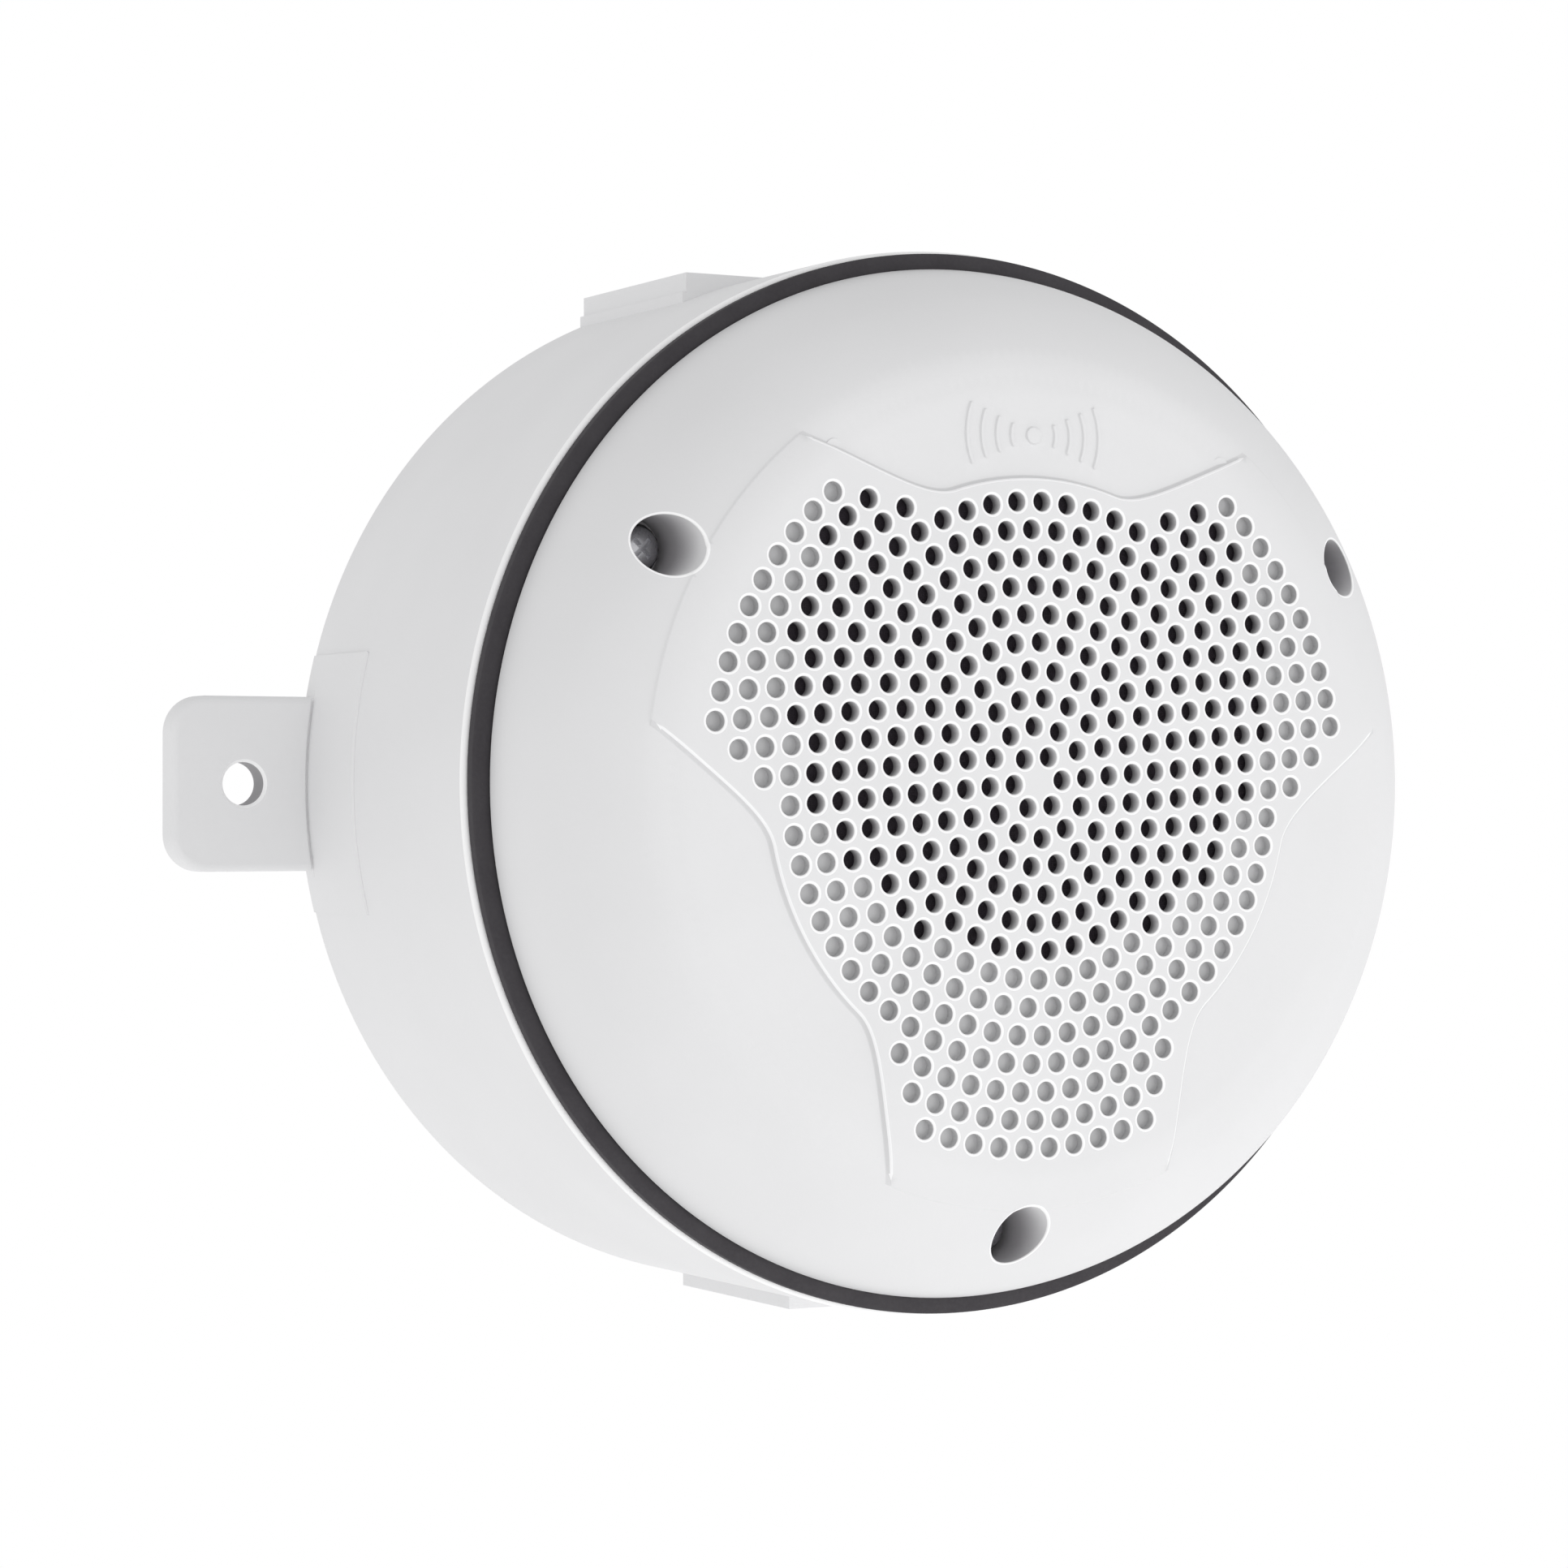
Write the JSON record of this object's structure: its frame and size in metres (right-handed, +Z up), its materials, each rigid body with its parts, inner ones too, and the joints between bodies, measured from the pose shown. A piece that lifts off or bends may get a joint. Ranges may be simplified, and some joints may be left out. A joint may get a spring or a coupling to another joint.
{
  "type": "outdoor alarm speaker",
  "caption": "Round white outdoor alarm siren: perforated domed cover, black rim gasket, deep surface back box with side mounting ears.",
  "frame": {"origin": "centre of the back box's rear face, on the wall plane", "axes": "+Y into the wall, -Y out through the grille; +Z up; +X to the right for someone facing the siren"},
  "size_m": [0.229, 0.0978, 0.1803],
  "materials": {
    "housing_white": "fine-textured matte white moulded plastic",
    "cover_white": "fine-textured matte white moulded plastic",
    "gasket_black": "matte moulded rubber",
    "inner_rubber": "soft black rubber",
    "screen_black": "fine dark acoustic screen",
    "screw_steel": "stainless",
    "frame_steel": "zinc-plated pressed steel",
    "cone_paper": "coated paper pulp",
    "ferrite": "sintered ferrite",
    "spider_cloth": "resin-dipped corrugated cloth",
    "coil_copper": "enamelled copper winding",
    "board_green": "solder-masked glass-epoxy board",
    "dark_plastic": "moulded dark plastic",
    "core_steel": "varnished laminations",
    "winding_tape": "yellow polyester tape",
    "terminal_blue": "moulded blue plastic",
    "slider_red": "moulded red plastic"
  },
  "bodies": {
    "housing": {"back_box": "housing_white", "baffle_plate": "cover_white", "baffle_screw_1": "screw_steel", "baffle_screw_2": "screw_steel", "blocking_capacitor": "dark_plastic", "board_screw_1": "screw_steel", "board_screw_2": "screw_steel", "circuit_board": "board_green", "conduit_plug_bottom": "housing_white", "conduit_plug_top": "housing_white", "cone_surround": "inner_rubber", "cover_screw_1": "screw_steel", "cover_screw_2": "screw_steel", "cover_screw_3": "screw_steel", "front_cover": "cover_white", "lead_negative": "dark_plastic", "lead_positive": "slider_red", "magnet_ring": "ferrite", "plug_seal_bottom": "inner_rubber", "plug_seal_top": "inner_rubber", "pole_yoke": "frame_steel", "rim_gasket": "gasket_black", "screw_seal_1": "inner_rubber", "screw_seal_2": "inner_rubber", "screw_seal_3": "inner_rubber", "speaker_basket": "frame_steel", "speaker_screw_1": "screw_steel", "speaker_screw_2": "screw_steel", "speaker_screw_3": "screw_steel", "speaker_screw_4": "screw_steel", "speaker_seal": "inner_rubber", "speaker_terminals": "winding_tape", "spider": "spider_cloth", "tap_switch_body": "dark_plastic", "terminal_block": "terminal_blue", "terminal_screw_1": "screw_steel", "terminal_screw_2": "screw_steel", "terminal_screw_3": "screw_steel", "terminal_screw_4": "screw_steel", "top_plate": "frame_steel", "transformer_core": "core_steel", "transformer_strap": "frame_steel", "transformer_winding": "winding_tape", "voltage_switch_body": "dark_plastic", "weather_screen": "screen_black"},
    "cone": {"speaker_cone": "cone_paper", "dust_cap": "cone_paper", "voice_coil": "coil_copper"},
    "tap_knob": {"tap_selector": "cover_white"},
    "voltage_knob": {"voltage_slider": "slider_red"}
  },
  "joints": [
    {"name": "cone_travel", "type": "slide", "parent": "housing", "child": "cone", "axis": [0, -1, 0], "range_m": [-0.0015, 0.0015], "stiffness_N_per_m": 1500, "deforming": ["cone_surround", "spider"]},
    {"name": "tap_selector_turn", "type": "hinge", "parent": "housing", "child": "tap_knob", "pos_m": [0, -0.072, -0.052], "axis": [0, -1, 0], "range_deg": [-60, 60]},
    {"name": "voltage_slide", "type": "slide", "parent": "housing", "child": "voltage_knob", "axis": [1, 0, 0], "range_m": [0, 0.004]}
  ]
}
